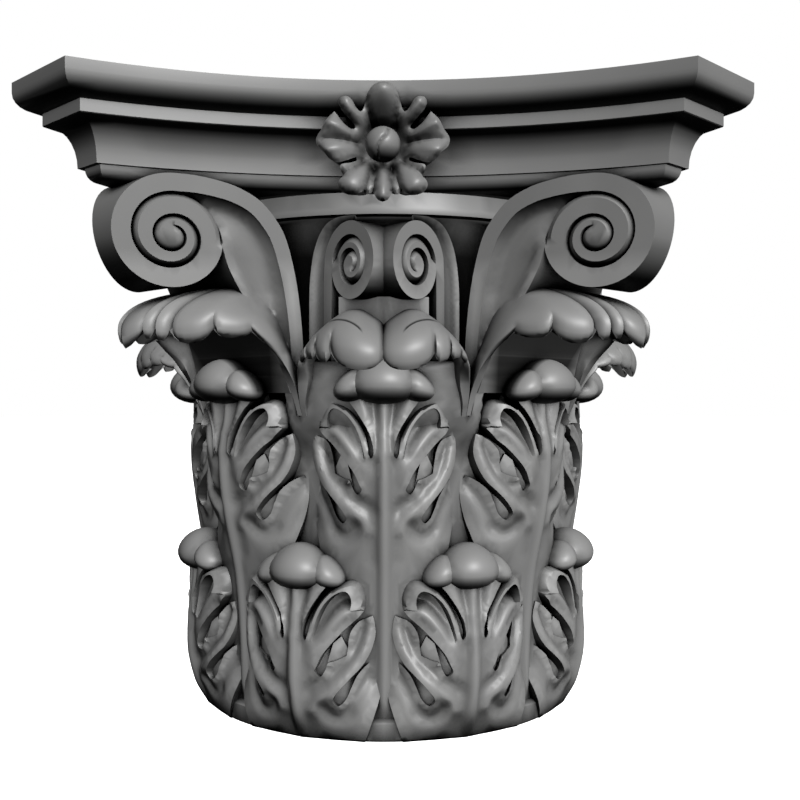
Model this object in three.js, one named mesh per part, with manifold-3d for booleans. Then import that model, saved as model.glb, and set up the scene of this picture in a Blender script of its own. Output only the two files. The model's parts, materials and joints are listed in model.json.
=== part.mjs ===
// A Corinthian capital carved from one block of stone: neck band, bell, two rows of acanthus leaves,
// calyx leaves, corner volutes, centre helices and an abacus with a flower on each side.
// Millimetres, +Z up, origin at the centre of the lower bed, front face towards -Y.
import * as THREE from 'three';
import { mergeVertices } from 'three/addons/utils/BufferGeometryUtils.js';
import Module from 'manifold-3d';

const wasm = await Module();
wasm.setup();

// Driving dimensions of the whole capital
const HEIGHT = 528;
const NECK_RADIUS = 180;
const NECK_BAND = 17;
const ABACUS_HALF_WIDTH = 288;
const ABACUS_FRONT_CORNER = 226;
const ABACUS_MID_SIDE = 232;
const ABACUS_SOFFIT = 452;
const LIP_RADIUS = 182;
const LIP_HEIGHT = 15;
const BELL_RADIUS = 166;
const BELL_FLARE = 8;
const COLLAR = { radius: 187, foot: 230, belly: { radius: 180, z: 262 }, rim: 300, top: 314 };
const CORE_RADIUS = 150;

// Driving dimensions of the leaves
const LEAVES_PER_ROW = 8;
const LEAF_RADIUS = 190;
const ROW_RISE = 149;

// Driving dimensions of the scrolls and flowers
const VOLUTE_EYE = { x: 166, z: 411.8 };
const VOLUTE_RADIUS = 48;
const VOLUTE_PITCH = 15;
const VOLUTE_FORWARD = 213;
const VOLUTE_TURN = THREE.MathUtils.degToRad(21.5);
const VOLUTE_LEAN = 0.155;
const VOLUTE_FOOT = 372;
const STEM_BEND = 117;
const STEM_TURN = THREE.MathUtils.degToRad(22);
const HELIX_EYE = { along: 24.7, z: 392.5 };
const HELIX_RADIUS = 34.5;
const HELIX_PITCH = 11;
const HELIX_SQUEEZE = 0.86;
const HELIX_EDGE = { x: 9.7, forward: 212 };
const HELIX_TURN = THREE.MathUtils.degToRad(45);
const HELIX_STEM_RADIUS = 178;
const HELIX_STEM_HALF = { foot: 10, top: 6 };
const GROOVE_WIDTH = 4;
const GROOVE_DEPTH = 6;
const FLOWER_HEIGHT = 479;
const FLOWER_FORWARD = 226;

// Joined solids pass through each other by the overlap, and seams are smoothed within the tolerance.
const OVERLAP = 0.5;
const SMOOTHING = 1.6;
const SLIVER_AREA = 0.2;
const STILL_FACING = 0.7;

const { lerp, clamp, smoothstep, degToRad } = THREE.MathUtils;

// Turns a closed mesh into a solid with its faces pointing out.
function solidOf(geometry) {
  geometry.deleteAttribute('normal');
  geometry.deleteAttribute('uv');
  const merged = mergeVertices(geometry, 1e-3);
  const vertices = Float32Array.from(merged.getAttribute('position').array);
  const triangles = [];
  const index = merged.getIndex().array;
  let volume = 0;
  const corner = (i) => new THREE.Vector3().fromArray(vertices, 3 * i);
  for (let i = 0; i < index.length; i += 3) {
    const [a, b, c] = index.slice(i, i + 3);
    if (a === b || b === c || c === a) continue;
    triangles.push(a, b, c);
    volume += corner(a).dot(corner(b).cross(corner(c)));
  }
  if (volume < 0) triangles.reverse();
  const mesh = new wasm.Mesh({
    numProp: 3,
    vertProperties: vertices,
    triVerts: Uint32Array.from(triangles),
  });
  mesh.merge();
  return new wasm.Manifold(mesh);
}

// Moves every vertex of a closed primitive by the rule place(x, y, z).
function shaped(primitive, place) {
  const position = primitive.getAttribute('position');
  for (let i = 0; i < position.count; i++) {
    const moved = place(position.getX(i), position.getY(i), position.getZ(i));
    position.setXYZ(i, ...moved);
  }
  return solidOf(primitive);
}

// A block with columns and rows, shaped by rule(across -1..1, along 0..1, front or back).
function sheet(columns, rows, rule) {
  const block = new THREE.BoxGeometry(2, 1, 1, columns, rows, 1);
  return shaped(block, (x, y, z) => rule(x, y + 0.5, z > 0));
}

function join(solids) {
  return solids.reduce((whole, next) => whole.add(next));
}

// The largest body of a joined solid, with any sealed hollow inside it filled.
function outerSkin(solid) {
  return solid.decompose().sort((a, b) => b.volume() - a.volume())[0];
}

// A smooth function through [position, value] knots.
function through(knots) {
  const slope = (i) => {
    const before = knots[Math.max(i - 1, 0)];
    const after = knots[Math.min(i + 1, knots.length - 1)];
    return (after[1] - before[1]) / (after[0] - before[0]);
  };
  return (at) => {
    const inside = clamp(at, knots[0][0], knots[knots.length - 1][0]);
    const last = Math.max(1, knots.findIndex((knot) => knot[0] >= inside));
    const [[x0, y0], [x1, y1]] = [knots[last - 1], knots[last]];
    const step = x1 - x0;
    const t = (inside - x0) / step;
    const rise = y0 * (1 + 2 * t) * (1 - t) ** 2 + y1 * t * t * (3 - 2 * t);
    return rise + step * (slope(last - 1) * t * (1 - t) ** 2 - slope(last) * t * t * (1 - t));
  };
}

// A point at an azimuth from the front, a radius from the axis and a height.
function polar(azimuth, radius, z) {
  return [radius * Math.sin(azimuth), -radius * Math.cos(azimuth), z];
}

// A point on one of the four sides: sideways, forward from the axis, and height.
function onSide(face, x, forward, z) {
  const along = [Math.cos(face), Math.sin(face)];
  const out = [Math.sin(face), -Math.cos(face)];
  return [along[0] * x + out[0] * forward, along[1] * x + out[1] * forward, z];
}

// The bell with its neck band and its lip, turned about the axis
function bell() {
  const lipFoot = ABACUS_SOFFIT - LIP_HEIGHT;
  const points = [
    [0, 0],
    [NECK_RADIUS, 0],
    [NECK_RADIUS, NECK_BAND],
    [BELL_RADIUS, NECK_BAND + 6],
    [BELL_RADIUS, COLLAR.foot],
    [COLLAR.belly.radius, COLLAR.belly.z],
    [COLLAR.radius, COLLAR.rim],
    [COLLAR.radius, COLLAR.top],
    [BELL_RADIUS, COLLAR.top + 4],
    [BELL_RADIUS + BELL_FLARE, lipFoot],
    [LIP_RADIUS - 3, lipFoot],
    [LIP_RADIUS, lipFoot + LIP_HEIGHT / 3],
    [LIP_RADIUS, ABACUS_SOFFIT - LIP_HEIGHT / 4],
    [LIP_RADIUS - 4, ABACUS_SOFFIT + OVERLAP],
    [0, ABACUS_SOFFIT + OVERLAP],
  ];
  const profile = points.map(([r, z]) => new THREE.Vector2(r, z));
  const lathe = new THREE.LatheGeometry(profile, 32);
  return shaped(lathe, (x, y, z) => [x, -z, y]);
}

// The moulded edge of the abacus as [inset from the top edge, height], from the top down
function abacusProfile() {
  const ovolo = { top: 520, foot: 504.7, depth: 17 };
  const fillet = { inset: 18.5, foot: 494.5 };
  const cavetto = { inset: 22, foot: 463, depth: 18 };
  const roll = { inset: 44.5, side: 457, depth: 7 };
  const profile = [[0, HEIGHT], [0, ovolo.top]];
  for (const turn of [45, 90].map(degToRad)) {
    const drop = (ovolo.top - ovolo.foot) * Math.sin(turn);
    profile.push([ovolo.depth * (1 - Math.cos(turn)), ovolo.top - drop]);
  }
  profile.push([fillet.inset, ovolo.foot], [fillet.inset, fillet.foot]);
  for (const turn of [90, 45, 0].map(degToRad)) {
    const rise = (fillet.foot - cavetto.foot) * Math.sin(turn);
    profile.push([cavetto.inset + cavetto.depth * Math.cos(turn), cavetto.foot + rise]);
  }
  profile.push([roll.inset, cavetto.foot], [roll.inset, roll.side]);
  profile.push([roll.inset + 2, ABACUS_SOFFIT + 1.5], [roll.inset + roll.depth, ABACUS_SOFFIT]);
  return profile;
}

// Plan of the abacus at an inset: four hollow sides with cut corners, all offset alike
function abacusPlan(inset, share) {
  const sagitta = ABACUS_HALF_WIDTH - ABACUS_MID_SIDE;
  const sweep = (ABACUS_FRONT_CORNER ** 2 + sagitta ** 2) / (2 * sagitta) + inset;
  const centre = ABACUS_MID_SIDE - inset + sweep;
  const cut = (ABACUS_HALF_WIDTH + ABACUS_FRONT_CORNER) / Math.SQRT2 - inset;
  const reach = cut * Math.SQRT2;
  // The corner is where x + forward = reach meets the hollow side.
  const gap = centre - reach;
  const corner = (-gap + Math.sqrt(2 * sweep ** 2 - gap ** 2)) / 2;
  const x = share * corner;
  return [x, centre - Math.sqrt(sweep ** 2 - x ** 2)];
}

function abacus() {
  const profile = abacusProfile();
  const perSide = 8;
  const drum = new THREE.CylinderGeometry(1, 1, 1, 4 * (perSide + 1), profile.length - 1);
  const sector = (2 * Math.PI) / (4 * (perSide + 1));
  return shaped(drum, (x, y, z) => {
    const level = Math.round((0.5 - y) * (profile.length - 1));
    const [inset, height] = profile[level];
    if (Math.hypot(x, z) < 0.5) return [0, 0, height];
    const spoke = Math.round((Math.atan2(x, z) + 2 * Math.PI) / sector) % (4 * (perSide + 1));
    const face = Math.floor(spoke / (perSide + 1)) * (Math.PI / 2);
    const share = ((spoke % (perSide + 1)) * 2) / perSide - 1;
    const [sideways, forward] = abacusPlan(inset, share);
    return onSide(face, sideways, forward, height);
  });
}

// The two rows of leaves: radius of the leaf's middle at each height, how strongly the leaf falls back
// from there to its margins, between which heights it starts to, and the foot that shows below
const LOWER_ROW = {
  rise: 0,
  firstAzimuth: Math.PI / LEAVES_PER_ROW,
  face: through([[0, 175], [12, 181], [28, 188], [50, 193], [85, 193.5], [105, 191], [126, 190.5]]),
  crown: 0.0045,
  settled: [0, 60],
  bulb: 190,
  stalk: [],
};
const UPPER_ROW = {
  rise: ROW_RISE,
  firstAzimuth: 0,
  face: through([
    [14, 172], [89, 175], [129, 179], [149, 182.5], [175, 188.5], [201, 193], [237, 195], [275, 190],
  ]),
  crown: 0.0055,
  settled: [ROW_RISE - 40, ROW_RISE + 40],
  bulb: 196,
  stalk: [
    { rib: 14 - ROW_RISE, half: 46, end: 14 - ROW_RISE, relief: 0 },
    { rib: -30, half: 50, end: -30, relief: 0 },
  ],
};

// Veins of half a leaf from the foot up: where each leaves the midrib, where it ends on the margin and
// how far it stands out. Lobes and the deep cuts between them take turns.
const VEINS = [
  { rib: 0, half: 53, end: 0, relief: 0 },
  { rib: 8, half: 73, end: 54, relief: 5 },
  { rib: 16, half: 60, end: 66, relief: -10 },
  { rib: 28, half: 65, end: 94, relief: 9 },
  { rib: 44, half: 46, end: 94, relief: -11 },
  { rib: 54, half: 60, end: 118, relief: 13 },
  { rib: 72, half: 46, end: 135, relief: 12 },
  { rib: 90, half: 24, end: 116, relief: -10 },
  { rib: 125, half: 23, end: 125, relief: 0 },
];
const VEIN_BEND = 1.5;
const VEIN_AT_RIB = 0.4;
const MIDRIB_RELIEF = 3;
const MIDRIB_RISES = [-60, 70];

// The tip turns over in three rounded lobes: how far the middle, the waist, the side lobe and the end
// of each row swell
const TIP = [
  { rib: 129, half: 40, end: 136, swell: [8, 0, 4, -8] },
  { rib: 135, half: 46, end: 140, swell: [22, 9, 15, 0] },
  { rib: 149, half: 47, end: 149, swell: [25, 11, 17, 2] },
  { rib: 162, half: 42, end: 157, swell: [15, 4, 8, -6] },
  { rib: 167, half: 34, end: 160, swell: [2, -6, -4, -14] },
];

// The leaf is one sheet whose rows are its veins, with the midrib down the middle and the tip on top.
function leaf(row, azimuth) {
  const rows = [...row.stalk, ...VEINS, ...TIP];
  return sheet(6, rows.length - 1, (across, along, front) => {
    const { rib, half, end, relief, swell } = rows[Math.round(along * (rows.length - 1))];
    const share = Math.abs(across);
    const z = row.rise + lerp(rib, end, share ** VEIN_BEND);
    const onRib = share < 0.1;
    const midrib = MIDRIB_RELIEF * smoothstep(rib, ...MIDRIB_RISES);
    const vein = relief * Math.min(1, VEIN_AT_RIB + share);
    const fall = row.crown * (share * half) ** 2 * smoothstep(z, ...row.settled);
    let radius = CORE_RADIUS;
    if (front && swell) radius = row.bulb + swell[Math.round(3 * share)];
    else if (front) radius = row.face(z) - fall + (onRib ? midrib : vein);
    return polar(azimuth + (across * half) / LEAF_RADIUS, radius, z);
  });
}

// Calyx leaves from the middle (0) to the foot of the stem (1): how far the margin reaches from the
// axis, the height of the margin, and the height of the top
const CORNER_CALYX = {
  half: degToRad(23.2),
  reach: through([[0, 296], [0.2, 288], [0.4, 266], [0.6, 236], [0.75, 212], [0.9, 193], [1, 184]]),
  margin: through([
    [0, 323], [0.12, 330], [0.3, 326], [0.5, 331], [0.62, 329], [0.75, 317], [0.87, 297], [1, 269],
  ]),
  top: through([[0, 377], [0.2, 379], [0.4, 377], [0.6, 366], [0.75, 346], [0.9, 311], [1, 273]]),
  scallops: 5,
};
const CENTRE_CALYX = {
  half: degToRad(21.8),
  reach: through([
    [0, 240], [0.16, 247], [0.32, 242], [0.48, 230], [0.6, 219], [0.68, 211], [0.8, 198], [1, 183],
  ]),
  margin: through([
    [0, 308], [0.16, 305], [0.32, 310], [0.48, 314], [0.6, 313], [0.68, 309], [0.8, 297], [1, 268],
  ]),
  top: through([
    [0, 346], [0.1, 353], [0.2, 357], [0.32, 351], [0.48, 336], [0.6, 324], [0.8, 303], [1, 271],
  ]),
  scallops: 4,
};
const CALYX_TURN = through([
  [0, 0], [0.2, 0.27], [0.4, 0.56], [0.6, 0.8], [0.75, 0.93], [0.9, 0.99], [1, 1],
]);
const CALYX_BACK = 12;
const CALYX_EDGE = 6;
const CALYX_FULLNESS = 0.7;
const CALYX_UPRIGHT = [0.55, 0.95];
const CALYX_MESH = { columns: 14, rows: 4 };
const SCALLOP = 4;

// A calyx leaf is a rounded canopy whose two feet come down to the stems beside it.
function calyx(form, azimuth) {
  return sheet(CALYX_MESH.columns, CALYX_MESH.rows, (across, along, front) => {
    const t = Math.abs(across);
    const bend = (Math.PI / 2) * along;
    const wave = SCALLOP * Math.cos(2 * Math.PI * form.scallops * t) * (1 - t) * along ** 2;
    const upright = (Math.PI / 2) * smoothstep(t, ...CALYX_UPRIGHT);
    const thick = front ? 0 : lerp(CALYX_BACK, CALYX_EDGE, along);
    const sunk = thick * Math.cos(upright);
    const radius = lerp(CORE_RADIUS, form.reach(t) + wave, Math.sin(bend)) - sunk * Math.sin(bend);
    const raised = Math.cos(bend) ** CALYX_FULLNESS;
    const z = lerp(form.margin(t), form.top(t), raised) - sunk * Math.cos(bend);
    const turn = form.half * CALYX_TURN(t) - (thick * Math.sin(upright)) / LEAF_RADIUS;
    return polar(azimuth + Math.sign(across) * turn, radius, z);
  });
}

// A spiral's outer edge: radius after a number of turns, and the point on it in the scroll's plane
function spiralPoint(eye, radius, pitch, turns, inset) {
  const size = radius - pitch * turns - inset;
  const angle = Math.PI / 2 - 2 * Math.PI * turns;
  return [eye[0] + size * Math.cos(angle), eye[1] + size * Math.sin(angle)];
}

// A groove that follows a spiral, as a cutter standing across the scroll's face
function spiralGroove(eye, radius, pitch, place) {
  const turns = (radius - 2.2 * pitch) / pitch;
  const cutter = new THREE.BoxGeometry(1, 1, 1, 1, Math.round(10 * turns), 1);
  return shaped(cutter, (x, y, z) => {
    const inset = pitch + GROOVE_WIDTH * x;
    const [across, up] = spiralPoint(eye, radius, pitch, turns * (y + 0.5), inset);
    return place(across, up, z > 0 ? -GROOVE_DEPTH : GROOVE_DEPTH);
  });
}

// An outline in a scroll's plane becomes a block between two scrolls that are each other's mirror image.
function scrollPair(outline, place, steps) {
  const shape = new THREE.Shape(outline.map(([x, y]) => new THREE.Vector2(x, y)));
  const plate = new THREE.ExtrudeGeometry(shape, { depth: 2, steps, bevelEnabled: false });
  return shaped(plate, (x, y, z) => place(x, y, z - 1));
}

// Corner volutes: two turned faces with their stems, each with a spiral groove
function volutes(corner) {
  const face = corner - Math.PI / 4;
  const forward = (x) => {
    const stem = Math.max(0, STEM_BEND - x);
    const scroll = Math.max(x, STEM_BEND) - VOLUTE_EYE.x;
    return VOLUTE_FORWARD + Math.tan(VOLUTE_TURN) * scroll - Math.tan(STEM_TURN) * stem;
  };
  const place = (hand) => (x, z, out) => {
    const sideways = x - out * Math.sin(VOLUTE_TURN);
    const lean = VOLUTE_LEAN * (Math.max(z, VOLUTE_FOOT) - VOLUTE_EYE.z);
    const ahead = forward(x) + lean + out * Math.cos(VOLUTE_TURN);
    return hand < 0 ? onSide(face, sideways, ahead, z) : onSide(face, ahead, sideways, z);
  };
  const eye = [VOLUTE_EYE.x, VOLUTE_EYE.z];
  const innerEdge = [
    [65, 288], [68, 334], [74, 388], [82, 417], [97, 441], [STEM_BEND, 453], [142, 458.5],
  ];
  const outerEdge = [[STEM_BEND, 370], [103, 350], [78, 288]];
  const rim = [];
  for (let turns = 0; turns < 0.7; turns += 1 / 14) {
    rim.push(spiralPoint(eye, VOLUTE_RADIUS, VOLUTE_PITCH, turns, 0));
  }
  const body = scrollPair([...innerEdge, ...rim, ...outerEdge], (x, z, hand) => place(hand)(x, z, 0), 1);
  return [-1, 1].reduce(
    (whole, hand) => whole.subtract(spiralGroove(eye, VOLUTE_RADIUS, VOLUTE_PITCH, place(hand))),
    body,
  );
}

// Helices: two small scrolls that come forward to the middle of the side and meet there in a notch
function helices(face) {
  const place = (hand) => (along, z, out) => {
    const sideways = HELIX_EDGE.x + along * Math.cos(HELIX_TURN) + out * Math.sin(HELIX_TURN);
    const forward = HELIX_EDGE.forward - along * Math.sin(HELIX_TURN) + out * Math.cos(HELIX_TURN);
    return onSide(face, hand * sideways, forward, z);
  };
  const toMiddle = (along) => (HELIX_EDGE.x + along * Math.cos(HELIX_TURN)) / Math.sin(HELIX_TURN);
  const eye = [HELIX_EYE.along, HELIX_EYE.z];
  const mirrored = (along) => eye[0] - HELIX_SQUEEZE * (along - eye[0]);
  const rim = [];
  for (let turns = -0.08; turns < 0.9; turns += 1 / 12) {
    const [along, z] = spiralPoint(eye, HELIX_RADIUS, HELIX_PITCH, turns, 0);
    rim.push([mirrored(along), z]);
  }
  const block = scrollPair(
    rim,
    (along, z, hand) => (hand ? place(hand)(along, z, 0) : place(1)(along, z, -toMiddle(along))),
    2,
  );
  const stem = new THREE.CubicBezierCurve(
    new THREE.Vector2(55, 305),
    new THREE.Vector2(55, 360),
    new THREE.Vector2(62, 408),
    new THREE.Vector2(32, 423),
  );
  return [-1, 1].reduce((whole, hand) => {
    const groove = spiralGroove(eye, HELIX_RADIUS, HELIX_PITCH, (along, z, out) =>
      place(hand)(mirrored(along), z, out),
    );
    const ribbon = sheet(1, 3, (across, along, front) => {
      const spot = stem.getPoint(along);
      const way = stem.getTangent(along);
      const half = lerp(HELIX_STEM_HALF.foot, HELIX_STEM_HALF.top, along);
      const radius = front ? HELIX_STEM_RADIUS : CORE_RADIUS;
      const s = spot.x + way.y * across * half;
      return polar(face + (hand * s) / radius, radius, spot.y - way.x * across * half);
    });
    return whole.subtract(groove).add(ribbon);
  }, block);
}

// The flower's outline: how far it reaches at a turn in degrees from upright, petals and gaps in turn
const FLOWER_REACH = through([
  [0, 46], [25, 35], [50, 47], [71, 32], [92, 51], [115, 33], [138, 48], [160, 35], [180, 46],
]);
const FLOWER_RINGS = [
  { share: 0, forward: 17 },
  { share: 0.27, forward: 10 },
  { share: 0.34, forward: 0 },
  { share: 0.72, forward: 8 },
  { share: 1, forward: 3 },
  { share: 0.5, forward: -48 },
  { share: 0, forward: -48 },
];
const PETAL_RELIEF = 11;

// The flower stands in front of the mouldings, its petals round a ball.
function flower(face) {
  const last = FLOWER_RINGS.length - 1;
  return shaped(new THREE.SphereGeometry(1, 32, last), (x, y, z) => {
    const { share, forward } = FLOWER_RINGS[Math.round((Math.acos(y) / Math.PI) * last)];
    const turn = Math.atan2(x, z);
    const petal = FLOWER_REACH(Math.abs(turn / degToRad(1)));
    const onPetal = share > 0.5 && forward > 0;
    const reach = share * (share > 0.5 ? petal : FLOWER_REACH(0));
    const crest = onPetal ? (PETAL_RELIEF * (petal - 42)) / 10 : 0;
    const height = FLOWER_HEIGHT + reach * Math.cos(turn);
    return onSide(face, reach * Math.sin(turn), FLOWER_FORWARD + forward + crest, height);
  });
}

function capital() {
  const parts = [bell(), abacus()];
  for (let i = 0; i < LEAVES_PER_ROW; i++) {
    const step = (i * 2 * Math.PI) / LEAVES_PER_ROW;
    parts.push(leaf(LOWER_ROW, LOWER_ROW.firstAzimuth + step));
    parts.push(leaf(UPPER_ROW, UPPER_ROW.firstAzimuth + step));
  }
  for (let i = 0; i < 4; i++) {
    const face = (i * Math.PI) / 2;
    const corner = face + Math.PI / 4;
    parts.push(calyx(CENTRE_CALYX, face), calyx(CORNER_CALYX, corner));
    parts.push(volutes(corner), helices(face), flower(face));
  }
  return outerSkin(join(parts));
}

// Draws short edges together where the surface moves less than the tolerance, since joining many
// curved solids leaves slivers along every seam. The flat beds stay flat.
function withoutSlivers(vertices, triangles) {
  const fans = vertices.map(() => new Set());
  triangles.forEach((corners, i) => corners.forEach((v) => fans[v].add(i)));
  const faceOf = (corners) => new THREE.Triangle(...corners.map((v) => vertices[v]));
  const onBed = ({ z }) => z === 0 || z === HEIGHT;
  const neighbours = (v) => new Set([...fans[v]].flatMap((i) => triangles[i]));
  const mayMove = (from, to) => {
    if (onBed(vertices[from]) && vertices[from].z !== vertices[to].z) return false;
    const near = neighbours(to);
    if ([...neighbours(from)].filter((v) => near.has(v)).length !== 4) return false;
    return [...fans[from]].every((i) => {
      const face = faceOf(triangles[i]);
      if (face.getArea() < SLIVER_AREA) return true;
      const plane = face.getPlane(new THREE.Plane());
      if (Math.abs(plane.distanceToPoint(vertices[to])) > SMOOTHING) return false;
      if (triangles[i].includes(to)) return true;
      const moved = faceOf(triangles[i].map((v) => (v === from ? to : v)));
      const turned = moved.getNormal(new THREE.Vector3()).dot(plane.normal);
      return moved.getArea() > SLIVER_AREA && turned > STILL_FACING;
    });
  };
  const move = (from, to) => {
    for (const i of fans[from]) {
      if (triangles[i].includes(to)) {
        triangles[i].forEach((v) => v !== from && fans[v].delete(i));
        triangles[i] = null;
      } else {
        triangles[i] = triangles[i].map((v) => (v === from ? to : v));
        fans[to].add(i);
      }
    }
    fans[from].clear();
  };
  for (const longest of [1, 3, 6, 12]) {
    for (let from = 0; from < vertices.length; from++) {
      const distance = (v) => vertices[v].distanceTo(vertices[from]);
      const ends = [...neighbours(from)].filter((v) => v !== from && distance(v) < longest);
      const to = ends.sort((a, b) => distance(a) - distance(b)).find((v) => mayMove(from, v));
      if (to !== undefined) move(from, to);
    }
  }
  return triangles.filter(Boolean);
}

// The joined solid as a mesh in grey stone
function stoneMesh(name, solid) {
  const { numProp, vertProperties, triVerts } = solid.getMesh();
  const vertices = [];
  for (let i = 0; i < vertProperties.length; i += numProp) {
    vertices.push(new THREE.Vector3().fromArray(vertProperties, i));
  }
  const triangles = [];
  for (let i = 0; i < triVerts.length; i += 3) triangles.push([...triVerts.slice(i, i + 3)]);
  const kept = withoutSlivers(vertices, triangles).flat();
  const geometry = new THREE.BufferGeometry().setFromPoints(kept.map((v) => vertices[v]));
  geometry.computeVertexNormals();
  const stone = new THREE.MeshStandardMaterial({ color: '#8f8f8f', roughness: 0.75, metalness: 0 });
  const mesh = new THREE.Mesh(geometry, stone);
  mesh.name = name;
  return mesh;
}

const model = new THREE.Group();
model.add(stoneMesh('capital', capital()));

export default model;
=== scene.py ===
# %% [markdown]
# # A Corinthian capital, carved from one block
#
# The capital is made as a carver would see it: a turned bell, a moulded abacus on top, two rows of
# acanthus leaves, canopies of calyx leaves, scrolls under the corners and a flower on each side.
# Each of them is a closed mesh, and a Boolean modifier joins them all into one carved block.

# %% Start
import json
import math

import bmesh
import bpy
import numpy as np
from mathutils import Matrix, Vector
from mathutils.geometry import delaunay_2d_cdt

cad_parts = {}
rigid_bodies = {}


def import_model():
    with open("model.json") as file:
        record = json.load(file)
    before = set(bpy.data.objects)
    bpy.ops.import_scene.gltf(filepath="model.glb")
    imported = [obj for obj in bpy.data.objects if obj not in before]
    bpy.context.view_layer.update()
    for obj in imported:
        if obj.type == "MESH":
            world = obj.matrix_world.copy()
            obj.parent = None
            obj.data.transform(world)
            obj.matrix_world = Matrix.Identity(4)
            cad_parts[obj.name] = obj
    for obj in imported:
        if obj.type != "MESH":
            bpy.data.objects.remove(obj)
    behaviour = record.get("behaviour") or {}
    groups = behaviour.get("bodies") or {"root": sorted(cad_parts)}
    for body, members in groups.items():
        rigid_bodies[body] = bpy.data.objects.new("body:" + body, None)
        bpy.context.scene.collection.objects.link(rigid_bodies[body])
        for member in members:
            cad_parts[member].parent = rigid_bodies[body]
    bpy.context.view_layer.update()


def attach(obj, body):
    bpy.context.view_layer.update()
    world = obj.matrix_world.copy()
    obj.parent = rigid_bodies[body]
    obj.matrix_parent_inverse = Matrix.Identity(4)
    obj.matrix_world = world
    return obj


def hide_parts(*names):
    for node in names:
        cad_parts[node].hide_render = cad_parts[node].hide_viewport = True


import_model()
MM = 0.001

# %% [markdown]
# ## Helpers for lines
#
# A few measured points are enough for a smooth line. `through` runs a smooth function through knots,
# and `trace` uses it twice, once for each coordinate, to draw a line through points on a flat plan.


# %% Smooth lines
def through(knots):
    """A smooth function through (position, value) knots."""
    x, y = np.array(knots, float).T
    before = np.maximum(np.arange(len(x)) - 1, 0)
    after = np.minimum(np.arange(len(x)) + 1, len(x) - 1)
    slope = (y[after] - y[before]) / (x[after] - x[before])

    def rule(at):
        at = np.clip(np.asarray(at, float), x[0], x[-1])
        i = np.clip(np.searchsorted(x, at), 1, len(x) - 1)
        step = x[i] - x[i - 1]
        t = (at - x[i - 1]) / step
        level = y[i - 1] * (1 + 2 * t) * (1 - t) ** 2 + y[i] * t * t * (3 - 2 * t)
        return level + step * (slope[i - 1] * t * (1 - t) ** 2 - slope[i] * t * t * (1 - t))

    return rule


def trace(points, step=2.0):
    """A smooth line through points, with a new point about every step millimetres."""
    points = np.array(points, float)
    lengths = np.hypot(*np.diff(points, axis=0).T)
    way = np.concatenate([[0], np.cumsum(lengths)])
    at = np.linspace(0, way[-1], max(2, round(way[-1] / step) + 1))
    return np.stack([through(np.stack([way, points[:, i]], 1))(at) for i in (0, 1)], 1)


def chain(pieces, step=2.0):
    """Smooth pieces one after the other, with a sharp corner where two of them meet."""
    lines = [trace(piece, step)[:-1] for piece in pieces]
    return np.concatenate(lines + [np.array([pieces[-1][-1]], float)])


def mirrored(half):
    """A closed outline from its right half, which runs from the bottom to the top."""
    left = half[::-1] * (-1, 1)
    return np.concatenate([half, left])


print("smooth lines ready")


# %% Offsets, distances and strokes
def offset(line, by, closed=False):
    """The line moved to its left by a distance."""
    way = np.roll(line, -1, 0) - np.roll(line, 1, 0) if closed else np.gradient(line, axis=0)
    way /= np.linalg.norm(way, axis=1, keepdims=True) + 1e-9
    return line + by * np.stack([-way[:, 1], way[:, 0]], 1)


def distance(spots, line):
    """How far each spot is from a line, and how far along the line the nearest point is, from 0 to 1."""
    start, along = line[:-1], np.diff(line, axis=0)
    away = spots[:, None] - start
    share = np.clip((away * along).sum(-1) / (along**2).sum(-1), 0, 1)
    gap = np.linalg.norm(away - share[..., None] * along, axis=-1)
    near = gap.argmin(1)
    rows = np.arange(len(spots))
    return gap[rows, near], (near + share[rows, near]) / len(along)


def inside(spots, loop):
    """Which spots lie inside a closed outline."""
    x, y = spots.T[:, :, None]
    ax, ay = loop.T
    bx, by = np.roll(loop, -1, 0).T
    rise = np.where(by == ay, 1, by - ay)
    crossed = ((ay > y) != (by > y)) & (x < ax + (y - ay) * (bx - ax) / rise)
    return crossed.sum(1) % 2 == 1


def ramp(value, low, high):
    """0 below low, 1 above high, and a smooth rise between them."""
    t = np.clip((value - low) / (high - low), 0, 1)
    return t * t * (3 - 2 * t)


def strokes(spots, cuts):
    """The carver's strokes: (line, width, height at its start, height at its end), hollows below zero."""
    total = np.zeros(len(spots))
    for line, width, first, last in cuts:
        gap, along = distance(spots, trace(line))
        total += (first + (last - first) * along) * np.exp(-((gap / width) ** 2))
    return total


print("line helpers ready")

# %% [markdown]
# ## Helpers for solids
#
# `solid` turns points and faces into an object whose faces all look outwards. `relief` fills a flat
# outline with triangles, sets the front in space by one rule and the back by another, and closes the
# rim. `loft` joins rings of points. All of them give closed meshes, which the Boolean needs.

# %% Solids
parts = bpy.data.collections.new("parts of the block")
bpy.context.scene.collection.children.link(parts)


def turn_outwards(mesh):
    """Flips the faces of a closed mesh that is inside out, which shows in a volume below zero."""
    probe = bmesh.new()
    probe.from_mesh(mesh)
    volume = probe.calc_volume(signed=True)
    probe.free()
    if volume < 0:
        mesh.flip_normals()


def solid(name, points, faces):
    """A closed mesh object from points in millimetres, with its faces turned outwards."""
    mesh = bpy.data.meshes.new(name)
    mesh.from_pydata((np.asarray(points) * MM).tolist(), [], [list(map(int, f)) for f in faces])
    turn_outwards(mesh)
    piece = bpy.data.objects.new(name, mesh)
    parts.objects.link(piece)
    return piece


print("closed solids ready")


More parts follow.
